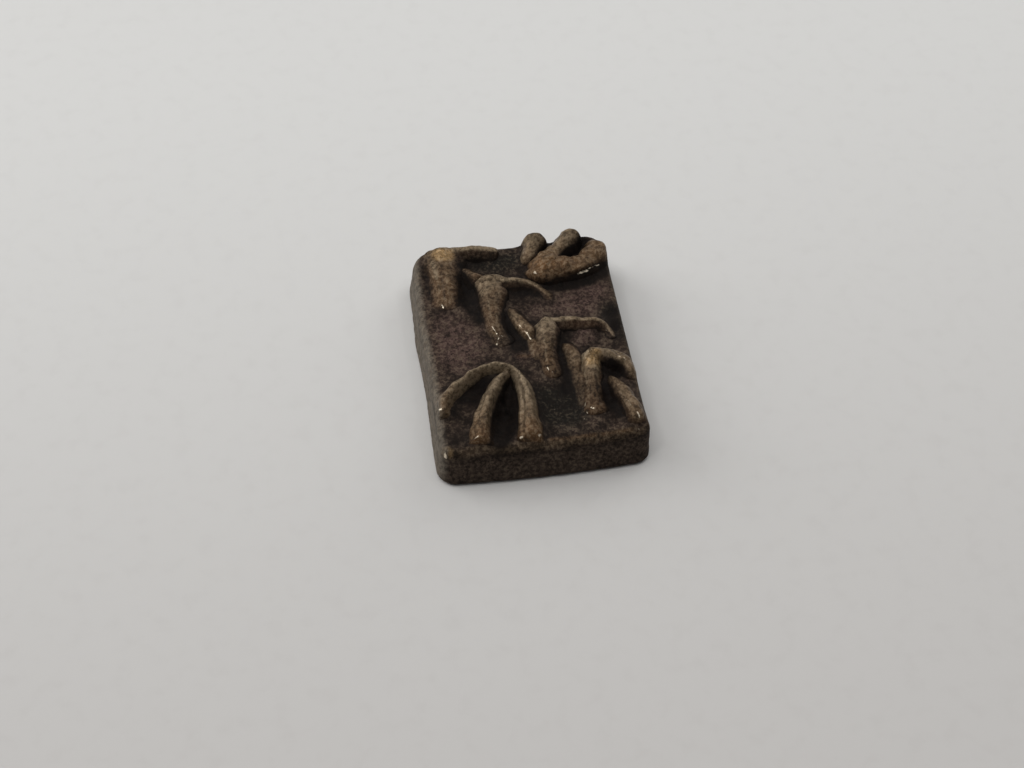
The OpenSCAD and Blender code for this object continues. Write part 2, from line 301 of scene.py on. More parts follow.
def alongThread(values, run):
    # values given at even shares of the length, joined by the same cubic curve
    values = np.array(values, float)
    return pathThrough(np.stack([np.linspace(0, 1, len(values)), values], -1), run)[:, 1]


def layThread(thread):
    # an arch (half width * sin, height * cos) carried along the path, spread at its foot and drawn in at both
    # ends; its crest, where the cosine turned by the lean is high, is rubbed and painted lighter, and its
    # foot is painted dark as shade
    thread = {**threadForm, **thread}
    fine = np.linspace(0, 1, thread["courseSteps"])
    length = np.hypot(*np.diff(pathThrough(thread["path"], fine), axis=0).T).sum()
    startRound, endRound = thread["ends"]
    bend = np.linspace(0, np.pi / 2, thread["endSteps"])[1:]
    inner = np.arange(startRound, length - endRound, thread["spacing"])[1:]
    atStart, atEnd = startRound * (1 - np.cos(bend)), length - endRound * (1 - np.cos(bend[::-1]))
    run = np.concatenate([atStart, inner, atEnd])
    startBlunt, endBlunt = thread["blunt"]
    startIn = (1 - np.clip(run / startRound, 0, 1)) ** startBlunt
    endIn = (1 - np.clip((length - run) / endRound, 0, 1)) ** endBlunt
    drawn = ((1 - startIn) ** (1 / startBlunt) * (1 - endIn) ** (1 / endBlunt))[:, None]

    share = run / length
    place = pathThrough(thread["path"], share)
    heading = np.gradient(pathThrough(thread["path"], fine), axis=0)
    heading = np.stack([np.interp(share, fine, heading[:, k]) for k in (0, 1)], -1)
    heading /= np.hypot(*heading.T)[:, None]
    across = np.stack([heading[:, 1], -heading[:, 0]], -1)
    half = alongThread(thread["width"], share)[:, None] / 2
    high = alongThread(thread["height"], share)[:, None]

    degrees = np.linspace(-thread["turn"], thread["turn"], thread["aroundSteps"])[None]
    angle = np.radians(degrees)
    along, around, seed = run[:, None] + 0 * angle, angle * half, thread["seed"]
    swell = wobble(along, around, *thread["swell"], seed)
    swell = swell + wobble(along, around, *thread["ripple"], seed + thread["rippleSeed"])
    for at, lean, spread, fan, amount in thread["marks"]:
        alongGap, roundGap = (share[:, None] - at) / spread, (degrees - lean) / fan
        swell = swell + amount * np.exp(-alongGap ** 2 - roundGap ** 2)
    foot = thread["foot"] * (1 - np.cos(angle)) ** 2
    power = 2 / thread["square"]
    wide = np.sin(np.minimum(np.abs(angle), np.pi / 2)) ** power
    tall = np.sign(np.cos(angle)) * np.abs(np.cos(angle)) ** power
    sway = np.sign(angle) * (half * wide * (1 + swell) + foot) * drawn
    rise = (high * tall * (1 + swell) - thread["sink"] * ease(np.abs(degrees), 90, thread["turn"])) * drawn
    x = place[:, :1] + across[:, :1] * sway
    y = place[:, 1:] + across[:, 1:] * sway
    x, y = keptInside(x, y)
    rings = np.stack([x, y, floorHeight(x, y) + rise], -1)

    tips = pathThrough(thread["path"], np.array([0.0, 1.0]))
    tips = np.stack(keptInside(tips[:, 0], tips[:, 1]), -1)
    tips = np.column_stack([tips, floorHeight(tips[:, 0], tips[:, 1])])
    points = np.concatenate([rings.reshape(-1, 3), tips])
    ids = np.arange(rings.size // 3).reshape(rings.shape[:2])
    after = np.roll(ids, -1, axis=1)
    walls = np.stack([ids[:-1], after[:-1], after[1:], ids[1:]], -1).reshape(-1, 4)
    first, last = np.full(ids.shape[1], ids.size), np.full(ids.shape[1], ids.size + 1)
    startCap = np.stack([after[0], ids[0], first], -1)
    endCap = np.stack([ids[-1], after[-1], last], -1)
    lean = np.radians(thread["lean"])
    # crest mask: rubbed wear plus painted light on the side the lean turns to; crease mask: painted shade at
    # the foot
    crest = alongThread(thread["rub"], share)[:, None] * ease(np.cos(angle - lean) * drawn, *thread["lit"])
    marks = {"crest": crest, "creaseShade": 1 - ease(np.cos(angle - lean / 2) * drawn, *thread["creaseShade"])}
    for tint in ("pale", "rust"):
        marks[tint] = alongThread(thread[tint], share)[:, None] + 0 * crest
    marks = {mark: np.append(np.clip(values, 0, 1), [0, 0]) for mark, values in marks.items()}
    return {"points": points, "faces": [walls, np.concatenate([startCap, endCap])], "marks": marks}


forms = {"base_slab": slabForm()}
print("slab shaped:", len(forms["base_slab"]["points"]), "points")

# first foot of the chain, back left
forms["foot1_leg"] = layThread({
    "path": [(-6.6, 13.7), (-6.6, 12.2), (-6.7, 10.5), (-6.85, 8.8), (-7.0, 7.2), (-7.1, 5.4)],
    "width": [4.0, 2.8, 2.1, 1.8, 1.8, 1.9], "height": [1.45, 1.55, 1.4, 1.2, 0.9, 0.25],
    "ends": (0.7, 1.2), "foot": 0.8, "seed": 11,
    "lit": (0.35, 0.9), "lean": 12, "rub": [1.0, 0.9, 0.8, 0.8, 0.8, 0.5],
    "pale": [0.2, 0.0, 0.0, 0.0, 0.0], "rust": [0.0, 0.2, 0.6, 0.7, 0.4],
    "marks": [(0.05, -65, 0.14, 30, 0.2), (0.5, 52, 0.3, 9, 0.2), (0.55, 25, 0.3, 14, -0.12)],
})
forms["foot1_arm"] = layThread({
    "path": [(-6.4, 12.75), (-4.5, 12.8), (-2.6, 12.7), (-0.8, 12.3)],
    "width": [1.5, 1.5, 1.4, 1.2], "height": [1.4, 1.3, 1.2, 1.0],
    "ends": (0.5, 0.7), "seed": 12,
    "lit": (0.45, 0.88), "lean": -26,
    "pale": [1.0, 1.0, 1.0, 0.9], "rust": [0.3, 0.3, 0.3],
})
forms["foot1_spur"] = layThread({
    "path": [(-5.0, 10.9), (-4.5, 10.0), (-4.0, 9.1), (-3.2, 8.4)],
    "width": [0.5, 0.9, 1.1, 1.2], "height": [0.4, 0.9, 1.15, 1.3],
    "ends": (0.8, 0.4), "foot": 0.7, "seed": 13,
    "lit": (0.6, 0.98), "rub": [0.5, 0.8, 0.8, 0.8],
    "rust": [0.2, 0.4, 0.4],
})

# second foot
forms["foot2_leg"] = layThread({
    "path": [(-2.3, 8.4), (-2.3, 7.0), (-2.5, 4.8), (-2.6, 2.9), (-2.3, 1.2), (-1.7, -0.3)],
    "width": [2.7, 1.9, 1.3, 1.2, 1.5, 1.9], "height": [1.45, 1.5, 1.4, 1.3, 1.0, 0.3],
    "ends": (0.3, 1.0), "blunt": (5, 2.4), "square": 2.7, "foot": 0.6, "seed": 21,
    "lean": 12, "rub": [1.0, 1.0, 0.4, 0.45, 0.6, 0.1],
    "pale": [0.6, 0.5, 0.0, 0.0, 0.1], "rust": [0.2, 0.5, 0.6, 0.6, 0.4, 0.0],
    "marks": [
        (0.22, -70, 0.06, 30, 0.2), (0.84, 45, 0.09, 16, 0.35), (0.8, 5, 0.09, 14, -0.25),
        (0.88, -60, 0.08, 24, 0.3),
    ],
})
forms["foot2_arm"] = layThread({
    "path": [(-3.6, 8.1), (-2.2, 8.1), (-0.6, 7.95), (0.9, 7.75), (2.1, 7.3), (2.9, 6.5), (3.6, 5.4)],
    "width": [1.4, 1.7, 1.4, 1.2, 0.7, 0.4], "height": [1.3, 1.55, 1.35, 1.15, 0.6, 0.2],
    "ends": (0.5, 0.8), "seed": 22,
    "lit": (0.5, 0.88), "lean": -18, "rub": [1.0, 1.0, 1.0, 1.0, 0.7],
    "pale": [0.5, 0.8, 1.0, 0.8, 0.2], "rust": [0.2, 0.4, 0.5, 0.5, 0.4],
})
forms["foot2_spur"] = layThread({
    "path": [(-0.9, 4.6), (-0.3, 3.0), (0.3, 1.6), (0.9, 0.2), (1.1, -1.3), (1.3, -2.9)],
    "width": [0.5, 0.9, 1.0, 0.9, 0.8, 0.8], "height": [0.3, 0.85, 1.1, 1.0, 0.45, 0.3],
    "ends": (0.9, 0.8), "square": 2.4, "foot": 0.6, "seed": 23,
    "lean": 20, "rub": [0.5, 0.9, 1.0, 0.8, 0.6, 0.6],
    "pale": [0.2, 0.3, 0.2, 0.0, 0.0], "rust": [0.3, 0.4, 0.5, 0.4, 0.3],
    "marks": [
        (0.62, 0, 0.05, 70, -0.4), (0.7, 30, 0.03, 40, 0.3), (0.78, -20, 0.04, 60, 0.3),
        (0.4, 58, 0.2, 10, 0.2),
    ],
})

# third foot
forms["foot3_leg"] = layThread({
    "path": [(2.55, 1.7), (2.5, 0.6), (2.25, -1.2), (2.15, -3.1), (2.55, -5.2)],
    "width": [2.1, 1.8, 1.5, 1.4, 1.2], "height": [1.45, 1.55, 1.45, 1.25, 0.4],
    "ends": (0.3, 0.9), "blunt": (6, 2.4), "square": 2.5, "seed": 31,
    "lean": 15, "rub": [1.0, 0.8, 0.4, 0.4, 0.3],
    "pale": [0.8, 0.4, 0.0, 0.0, 0.1], "rust": [0.0, 0.2, 0.6, 0.7, 0.5],
    "marks": [(0.5, -30, 0.1, 16, -0.1), (0.75, 30, 0.08, 20, 0.1)],
})
forms["foot3_arm"] = layThread({
    "path": [(2.2, 1.45), (4.0, 1.45), (6.0, 1.35), (7.8, 1.15), (8.6, 0.4), (9.0, -0.9)],
    "width": [1.6, 1.4, 1.3, 1.0, 0.5], "height": [1.65, 1.5, 1.35, 1.1, 0.4],
    "ends": (0.4, 0.8), "blunt": (3.4, 2.4), "seed": 32,
    "lit": (0.58, 0.92), "lean": -18,
    "pale": [1.0, 1.0, 0.9, 0.8, 0.3], "rust": [0.0, 0.5, 0.6, 0.4, 0.0],
})
forms["foot3_spur"] = layThread({
    "path": [(3.7, -0.9), (4.4, -2.2), (4.75, -3.8), (4.8, -5.6), (4.8, -7.5), (4.7, -9.4)],
    "width": [0.6, 1.4, 1.0, 0.7, 0.6, 0.5], "height": [0.4, 1.0, 0.85, 0.5, 0.4, 0.3],
    "ends": (0.9, 0.7), "foot": 0.7, "seed": 33,
    "lean": 15, "rub": [0.7, 0.9, 0.6, 0.35, 0.35],
    "pale": [0.1, 0.2, 0.0, 0.0], "rust": [0.4, 0.5, 0.3, 0.2],
    "marks": [
        (0.5, -10, 0.05, 60, -0.3), (0.62, -20, 0.05, 50, 0.3), (0.75, 0, 0.04, 60, -0.3),
        (0.88, 20, 0.05, 50, 0.3),
    ],
})

# fourth foot, front right
forms["foot4_leg"] = layThread({
    "path": [(6.4, -2.9), (6.1, -4.6), (5.85, -6.5), (5.7, -8.4), (5.7, -10.5)],
    "width": [1.8, 1.9, 1.5, 1.4, 1.9], "height": [1.65, 2.0, 1.85, 1.5, 0.5],
    "ends": (0.7, 0.9), "blunt": (2.8, 2.4), "seed": 41,
    "lit": (0.2, 0.7), "lean": 12, "rub": [1.0, 1.0, 0.3, 0.15, 0.3],
    "pale": [1.0, 1.0, 0.1, 0.0, 0.0], "rust": [0.2, 0.4, 0.5, 0.6, 0.7],
    "marks": [(0.85, 55, 0.12, 28, 0.25), (0.6, 0, 0.12, 30, -0.08)],
})
forms["foot4_arm"] = layThread({
    "path": [(5.8, -3.6), (7.2, -3.55), (8.5, -3.9), (9.3, -4.6), (9.7, -5.5), (9.9, -6.6)],
    "width": [1.9, 1.8, 1.7, 1.4, 1.0], "height": [1.9, 1.85, 1.75, 1.5, 0.8],
    "ends": (0.5, 0.9), "seed": 42,
    "lean": -22,
    "pale": [0.6, 0.6, 0.4, 0.3, 0.1], "rust": [0.2, 0.1, 0.2, 0.2],
    "marks": [(0.5, -20, 0.08, 30, -0.15), (0.65, 10, 0.06, 30, 0.15)],
})
forms["foot4_spur"] = layThread({
    "path": [(7.6, -5.9), (8.0, -7.0), (8.5, -8.4), (9.0, -10.0), (9.35, -11.3), (9.5, -12.3)],
    "width": [0.7, 1.2, 1.5, 1.5, 1.2], "height": [0.7, 1.3, 1.7, 1.7, 1.2],
    "ends": (1.0, 0.7), "seed": 43,
    "rub": [0.7, 0.8, 0.8, 0.8, 0.8],
    "pale": [0.0, 0.1, 0.3, 0.3, 0.2], "rust": [0.2, 0.3, 0.4, 0.5, 0.6],
    "marks": [(0.6, 52, 0.3, 9, 0.2)],
})

# front left foot, toes towards the viewer
forms["front_foot_left_toe"] = layThread({
    "path": [
        (-1.5, -4.5), (-2.4, -3.9), (-4.2, -3.6), (-6.3, -4.6), (-8.1, -6.2), (-9.1, -7.5), (-9.4, -8.9),
    ],
    "width": [0.7, 0.8, 0.85, 1.0, 1.25, 1.3], "height": [1.3, 1.5, 1.6, 1.7, 1.7, 1.4],
    "ends": (0.4, 0.9), "foot": 0.3, "seed": 51,
    "lit": (0.0, 0.4), "lean": -18, "rub": [1, 1, 1, 1, 1, 0.8],
    "pale": [0.7, 1.0, 1.0, 1.0, 0.6, 0.2], "rust": [0.0, 0.1, 0.2, 0.3, 0.5, 0.7],
    "marks": [(0.8, 62, 0.12, 9, 0.15)],
})
forms["front_foot_middle_toe"] = layThread({
    "path": [(-2.0, -4.4), (-3.0, -5.0), (-3.9, -6.3), (-4.8, -8.2), (-5.6, -10.5), (-6.1, -12.6)],
    "width": [0.8, 1.1, 1.2, 1.2, 1.3, 1.9], "height": [1.4, 1.6, 1.7, 1.75, 1.65, 1.45],
    "ends": (0.8, 0.4), "blunt": (2.4, 3.4), "seed": 52,
    "lit": (0.1, 0.55), "lean": 16, "rub": [1, 1, 1, 1, 1, 0.6],
    "pale": [0.7, 0.8, 0.8, 0.7, 0.2, 0.0], "rust": [0.0, 0.0, 0.1, 0.3, 0.6, 1.0],
    "marks": [(0.62, -50, 0.2, 8, -0.15), (0.62, 50, 0.2, 8, -0.2), (0.65, 72, 0.22, 10, 0.2)],
})
forms["front_foot_right_toe"] = layThread({
    "path": [
        (-2.9, -3.9), (-1.9, -4.2), (-1.2, -5.6), (-0.9, -7.4), (-0.95, -9.2), (-1.1, -11.2),
        (-1.35, -12.9),
    ],
    "width": [0.7, 0.9, 1.1, 1.2, 1.3, 1.9], "height": [1.3, 1.6, 1.8, 1.85, 1.8, 1.5],
    "ends": (0.5, 0.4), "blunt": (2.4, 3.4), "seed": 53,
    "lit": (0.05, 0.5), "rub": [1, 1, 1, 1, 1, 0.6],
    "pale": [0.7, 0.9, 1.0, 0.9, 0.6, 0.0], "rust": [0.0, 0.0, 0.0, 0.2, 0.5, 1.0],
    "marks": [(0.65, 68, 0.25, 10, 0.25), (0.6, 48, 0.25, 8, -0.12)],
})

# back right foot, toes away from the viewer
forms["back_foot_left_toe"] = layThread({
    "path": [(1.6, 10.3), (2.2, 11.3), (2.9, 12.4), (3.4, 13.7)],
    "width": [0.9, 1.9, 2.6, 2.5], "height": [0.7, 1.7, 2.0, 1.95],
    "ends": (1.0, 0.8), "square": 2.3, "foot": 0.25, "seed": 61,
    "lit": (0.25, 0.7), "lean": -18,
    "pale": [0.1, 0.2, 0.4, 0.4], "rust": [0.3, 0.3, 0.1, 0.0],
})
forms["back_foot_middle_toe"] = layThread({
    "path": [(2.1, 7.8), (2.9, 8.7), (3.8, 9.8), (4.9, 11.1), (6.3, 12.4), (7.2, 13.7)],
    "width": [2.0, 2.6, 2.2, 1.8, 2.4, 2.5], "height": [1.3, 1.65, 1.75, 1.85, 2.15, 2.2],
    "ends": (0.9, 0.8), "square": 2.5, "seed": 62,
    "lit": (0.25, 0.75), "lean": -14,
    "pale": [0.0, 0.0, 0.2, 0.5, 0.6], "rust": [0.8, 1.0, 0.8, 0.3, 0.0],
})
forms["back_foot_right_toe"] = layThread({
    "path": [(2.8, 8.5), (4.6, 8.7), (6.4, 9.0), (7.9, 9.7), (9.1, 10.7), (9.8, 12.0)],
    "width": [1.9, 2.0, 2.0, 2.4, 2.6], "height": [1.3, 1.6, 1.65, 1.7, 1.6],
    "ends": (0.9, 0.8), "square": 2.8, "seed": 63,
    "lit": (0.2, 0.6), "lean": -8, "rub": [0.7, 0.8, 0.9, 1.0, 1.0],
    "pale": [0.0, 0.0, 0.0, 0.1, 0.1], "rust": [1.0, 0.9, 0.7, 0.7, 0.6],
    "marks": [(0.5, 52, 0.25, 8, 0.1), (0.25, -70, 0.16, 30, 0.35)],
})
print("threads laid:", len(forms) - 1)


# relief map: the highest point in each small square of the top, and the same map blurred,
# to tell crests from hollows
relief = {"cell": 0.2, "blur": 0.9, "margin": 2.0}
mapLow = slabLow[:2] - relief["margin"]
mapSize = np.ceil((slabHigh[:2] + relief["margin"] - mapLow) / relief["cell"]).astype(int)
mapStop = mapSize - 1.001  # just short of the last square's middle
middles = [mapLow[k] + (np.arange(mapSize[k]) + 0.5) * relief["cell"] for k in (0, 1)]
mapX, mapY = np.meshgrid(*middles, indexing="ij")
bareMap = floorHeight(mapX, mapY)
heightMap = bareMap.copy()
for name, form in forms.items():
    if name != "base_slab":
        cells = ((form["points"][:, :2] - mapLow) / relief["cell"]).astype(int)
        np.maximum.at(heightMap, (cells[:, 0], cells[:, 1]), form["points"][:, 2])


def blurred(values, reach):
    # Gaussian blur through the Fourier transform
    waves = np.meshgrid(*(np.fft.fftfreq(n, relief["cell"]) for n in values.shape), indexing="ij")
    weight = np.exp(-2 * (np.pi * reach) ** 2 * (waves[0] ** 2 + waves[1] ** 2))
    return np.fft.ifft2(np.fft.fft2(values) * weight).real


def lookUp(values, x, y):
    # reads a map between its squares, straight from one middle to the next
    u = np.clip((x - mapLow[0]) / relief["cell"] - 0.5, 0, mapStop[0])
    v = np.clip((y - mapLow[1]) / relief["cell"] - 0.5, 0, mapStop[1])
    i, j = u.astype(int), v.astype(int)
    u, v = u - i, v - j
    near = values[i, j] * (1 - u) + values[i + 1, j] * u
    far = values[i, j + 1] * (1 - u) + values[i + 1, j + 1] * u
    return near * (1 - v) + far * v


wideMap = blurred(heightMap, relief["blur"])

# the slab's top is smeared up a little against every thread
smearMap = slab["smear"] * blurred(heightMap - bareMap, slab["smearReach"])
x, y, z = forms["base_slab"]["points"].T
z += lookUp(smearMap, x, y) * ease(z, *(slabTop - drop for drop in slab["smearFrom"]))
print("relief mapped:", mapSize, "squares")

# where the surface has a tint of its own, or painted shade for the soot spots: x, y, reach, amount
tints = {
    "gold": [
        (-7.2, 12.5, 0.9, 0.7), (-6.2, 12.1, 0.9, 0.7), (6.0, -4.9, 1.1, 0.5), (6.6, -4.0, 1.0, 0.42),
        (-9.5, -12.7, 0.7, 0.9), (-2.7, 1.2, 0.6, 0.4),
    ],
    "plum": [
        (-7.1, 3.0, 2.0, 0.9), (-5.6, 0.6, 2.0, 0.9), (-8.2, 0.0, 1.8, 0.7), (-6.4, -2.0, 1.6, 0.6),
        (6.7, 5.6, 1.8, 1.0), (8.6, 6.0, 1.2, 0.8), (4.8, 3.9, 1.6, 0.8), (7.4, 3.4, 1.2, 0.6),
        (6.2, -0.2, 1.2, 1.0), (1.6, 4.0, 1.2, 0.5), (-0.6, -1.9, 0.8, 0.5), (1.2, -2.2, 0.6, 0.5),
    ],
    "ash": [
        (1.0, -7.2, 1.3, 0.9), (2.4, -8.2, 1.8, 1.0), (3.6, -8.0, 1.2, 0.9), (1.3, -10.0, 1.5, 0.8),
        (3.2, -10.0, 1.6, 0.9), (9.3, 3.0, 1.2, 1.0), (9.5, 0.6, 1.2, 1.0), (-3.4, 11.2, 1.2, 0.9),
        (-1.4, 10.9, 1.3, 0.9), (0.4, 11.4, 1.2, 0.9),
    ],
    # soot spots: painted shade in crevices, under the back foot, along the right edge and right of the legs,
    # partly dark patina
    "sootAndShade": [
        (-2.3, -5.6, 0.7, 1.0), (-2.8, -7.2, 1.0, 1.0), (-3.2, -8.9, 1.3, 1.0), (-3.7, -10.6, 1.4, 1.0),
        (-4.3, -12.2, 1.1, 1.0), (-5.0, 11.0, 0.5, 0.8), (-4.9, 9.6, 0.8, 1.0), (-4.9, 8.0, 1.0, 1.0),
        (-4.7, 6.4, 1.0, 1.0), (-4.4, 4.8, 0.8, 1.0), (-4.1, 3.4, 0.6, 0.7), (-8.9, 10.4, 0.4, 0.35),
        (-8.9, 9.4, 0.4, 0.35), (-8.8, 8.4, 0.4, 0.35), (-8.7, 7.4, 0.4, 0.3), (-1.4, 3.4, 0.6, 0.9),
        (-1.4, 2.0, 0.9, 1.0), (-0.9, 0.8, 0.9, 1.0), (-0.3, -0.3, 0.9, 1.0), (-1.2, -1.0, 0.8, 0.5),
        (3.7, -0.8, 0.6, 0.8), (3.7, -2.2, 0.8, 1.0), (3.7, -3.6, 0.8, 1.0), (3.7, -5.0, 0.8, 0.9),
        (3.2, -6.4, 0.8, 0.7), (0.8, 6.8, 1.2, 0.7), (2.4, 6.3, 0.7, 0.6), (8.2, -4.6, 0.7, 1.0),
        (9.0, -5.2, 0.7, 1.0), (7.1, -7.8, 0.7, 0.9), (7.4, -9.4, 0.7, 0.9), (8.1, -10.8, 0.6, 0.6),
        (8.1, 12.9, 0.7, 1.0), (7.2, 12.0, 0.9, 1.0), (6.4, 11.0, 0.7, 1.0), (5.7, 10.3, 0.4, 0.8),
        (5.0, 13.2, 0.5, 0.8), (4.4, 12.0, 0.5, 0.8), (-5.7, -5.0, 0.8, 0.9), (-5.8, -6.4, 0.8, 0.9),
        (-7.1, -6.3, 0.7, 0.8), (-8.3, -8.2, 0.6, 0.7), (4.8, 7.2, 0.7, 0.8), (6.4, 7.2, 0.8, 0.9),
        (8.0, 7.7, 0.8, 1.0), (9.5, 8.4, 0.9, 1.0), (3.4, 6.9, 0.4, 0.6), (9.6, 3.0, 0.9, 0.9),
        (9.6, 1.2, 1.0, 0.9), (9.6, -0.8, 0.8, 0.7), (-8.4, -11.4, 1.4, 0.6), (2.4, -8.4, 2.2, 0.35),
        (-1.4, 10.8, 1.4, 0.15),
    ],
}
paintedGlints = [  # painted highlights as short strokes: x, y, x, y, reach, amount
    (-6.7, -12.2, -6.3, -12.3, 0.07, 0.9), (-5.3, -12.3, -5.1, -12.2, 0.07, 0.6),
    (-2.3, -12.5, -2.1, -12.6, 0.09, 0.9), (-0.5, -12.7, -0.3, -12.5, 0.09, 1.0),
    (-9.6, -8.3, -9.4, -8.5, 0.1, 1.0), (1.7, -4.1, 1.8, -4.4, 0.07, 0.8),
    (2.0, -4.6, 2.1, -4.7, 0.05, 0.8), (5.1, -9.8, 5.3, -9.9, 0.1, 1.0),
    (4.7, -8.9, 4.6, -9.3, 0.07, 0.7), (-9.65, -12.7, -9.45, -13.0, 0.18, 1.0),
    (-9.3, -12.5, -9.1, -12.6, 0.08, 0.7), (9.2, -12.7, 9.4, -12.6, 0.09, 0.8),
    (2.3, 8.3, 2.6, 8.0, 0.13, 1.0), (6.8, 7.85, 7.8, 8.15, 0.08, 0.9),
    (7.8, 8.15, 9.5, 9.05, 0.07, 0.85), (-7.6, 6.1, -7.5, 5.7, 0.09, 1.0),
    (-3.0, 2.0, -2.6, 1.1, 0.06, 0.9), (-2.6, 1.1, -2.0, 0.8, 0.06, 0.8),
    (-2.5, 0.6, -2.8, -0.1, 0.07, 0.9), (7.9, -8.6, 8.3, -9.4, 0.05, 0.6),
    (8.5, -10.0, 8.8, -11.0, 0.05, 0.7), (9.2, -11.7, 9.4, -12.1, 0.08, 0.9),
    (-0.3, 1.8, 0.1, 1.0, 0.06, 0.7), (0.2, 0.8, 0.7, -0.1, 0.07, 0.9), (2.1, 7.2, 2.5, 6.8, 0.06, 0.6),
    (8.3, 0.4, 8.6, -0.2, 0.06, 0.5), (8.7, -4.1, 9.0, -4.3, 0.07, 0.6),
    (9.2, -4.6, 9.4, -4.9, 0.07, 0.6), (1.5, -8.8, 1.7, -8.9, 0.06, 0.7),
    (2.3, -8.3, 2.4, -8.5, 0.05, 0.6), (4.3, -10.6, 4.4, -10.9, 0.06, 0.8),
    (4.6, -9.8, 4.7, -10.1, 0.05, 0.7), (3.4, -9.2, 3.5, -9.3, 0.05, 0.6),
    (0.6, -9.6, 0.7, -9.8, 0.05, 0.6), (-4.9, -6.6, -4.8, -6.8, 0.07, 0.8),
]
lips = [  # rusty lines along the front edge and the floor's low ridges, in the same form
    (0.6, -12.7, 5.0, -12.8, 0.16, 0.9), (5.6, -12.8, 8.6, -12.7, 0.14, 0.7),
    (-0.9, -1.9, 1.0, -2.1, 0.2, 0.7),
]
streaksAndPaintedLight = [  # pale where the amount is above zero, dark below, in the same form; partly streaky patina, partly painted light on the legs' left edges and painted shade on their right
    (-7.9, 11.4, -7.7, 9.6, 0.22, 0.9), (-7.7, 9.4, -7.6, 7.6, 0.12, 0.5),
    (-7.2, 9.8, -7.2, 6.8, 0.2, -0.7), (-6.2, 10.8, -6.2, 8.6, 0.14, -0.5),
    (-6.7, 9.6, -6.8, 7.2, 0.15, 0.4), (-2.9, 6.4, -3.0, 3.0, 0.1, 0.5),
    (-1.9, 5.8, -2.1, 3.4, 0.16, -0.6), (-2.3, 4.6, -2.4, 2.4, 0.1, 0.3),
    (1.9, 0.6, 1.75, -3.4, 0.1, 0.5), (2.8, -0.6, 2.7, -4.4, 0.18, -0.6),
    (5.2, -5.0, 5.1, -8.6, 0.1, 0.5), (6.1, -6.0, 6.1, -9.4, 0.2, -0.7), (-3.5, 8.9, -0.4, 8.4, 0.1, 0.5),
    (3.6, 1.9, 7.4, 1.4, 0.1, 0.5), (3.6, 9.4, 5.2, 11.2, 0.2, 0.4),
]
wearAndPaintedLight = {
    "top": (1.6, 0.5),  # depths below the slab's top between which the wall gives way to the top
    "hollow": (0.0, 0.6),  # depths below the blurred map over which the painted shade of the hollows comes in
    "rim": (0.6, 0.35),  # middle and spread of the rubbed band on the rolled edge
    "dustTurn": (0.4, 0.9),  # how far the edge faces left, for dust and a painted sheen there
    "dustRoll": (-0.1, 0.8),  # how far out on the roll
    "gold": (0.2, 0.6),  # sums of the gold spots between which they show
}


def surfaceMarks(form):
    # the thread's own marks; the painted shade of the hollows from the depth under the blurred map; rim, and
    # dust with a painted sheen, by the rolled edge
    x, y, z = form["points"].T
    above = z - lookUp(wideMap, x, y)
    top = ease(z, *(slabTop - depth for depth in wearAndPaintedLight["top"]))
    inside, wayX, wayY = edgeAt(x, y)
    lean, width, worn = (sideBlend(slab[key], wayX, wayY) for key in ("lean", "rollWidth", "worn"))
    past = 1 - (inside - lean) / width  # 0 where the roll begins, 1 at its outer line
    # hollow is painted shade where the surface lies below the blurred map
    marks = {"hollow": ease(-above, *wearAndPaintedLight["hollow"]) * top, "flank": 1 - top}
    band, spread = wearAndPaintedLight["rim"]
    marks["rim"] = worn * np.exp(-((past - band) / spread) ** 2) * top
    # dust and a painted sheen on the left-facing rolled edge
    marks["dustyAndSheen"] = ease(-wayX, *wearAndPaintedLight["dustTurn"]) * ease(past, *wearAndPaintedLight["dustRoll"])
    # painted highlights along rims and ends
    marks["paintedGlint"] = np.clip(softStrokes(x, y, paintedGlints), 0, 1) * top
    marks["rust"] = np.clip(softStrokes(x, y, lips), 0, 1) * top
    # streaks: partly streaky patina, partly painted light and painted shade
    streakAndPaintedLight = softStrokes(x, y, streaksAndPaintedLight) * top
    marks["pale streak and painted light"], marks["dark streak and painted shade"] = np.clip(streakAndPaintedLight, 0, 1), np.clip(-streakAndPaintedLight, 0, 1)
    for tint, spots in tints.items():
        marks[tint] = np.clip(softSpots(x, y, spots), 0, 1) * top
    marks["gold"] = ease(marks["gold"], *wearAndPaintedLight["gold"])
    return {**marks, **form["marks"]}


# shading

class Shade:
    # wraps a socket, so that an expression on values adds its Math nodes
    def __init__(self, tree, socket=None):
        self.tree = tree
        self.socket = socket

    def node(self, kind, settings, inputs, output=0):
        made = self.tree.nodes.new(kind)
        for key, value in settings.items():
            setattr(made, key, value)
        for key, value in inputs.items():
            if isinstance(value, Shade):
                self.tree.links.new(value.socket, made.inputs[key])
            else:
                made.inputs[key].default_value = value
        return Shade(self.tree, made.outputs[output])

    def math(self, operation, first, second):
        return self.node("ShaderNodeMath", {"operation": operation}, {0: first, 1: second})

    def __add__(self, other):
        return self.math("ADD", self, other)

    def __radd__(self, other):
        return self.math("ADD", other, self)

    def __sub__(self, other):
        return self.math("SUBTRACT", self, other)

    def __rsub__(self, other):
        return self.math("SUBTRACT", other, self)

    def __mul__(self, other):
        return self.math("MULTIPLY", self, other)

    def __rmul__(self, other):
        return self.math("MULTIPLY", other, self)

    def step(self, start, end):
        settings = {"interpolation_type": "SMOOTHSTEP"}
        return self.node("ShaderNodeMapRange", settings, {0: self, 1: start, 2: end})

    def tint(self, colour, mask):
        # a Mix node's colours are its sockets 6 and 7, and output 2
        return self.node("ShaderNodeMix", {"data_type": "RGBA"}, {0: mask, 6: self, 7: (*colour, 1)}, 2)


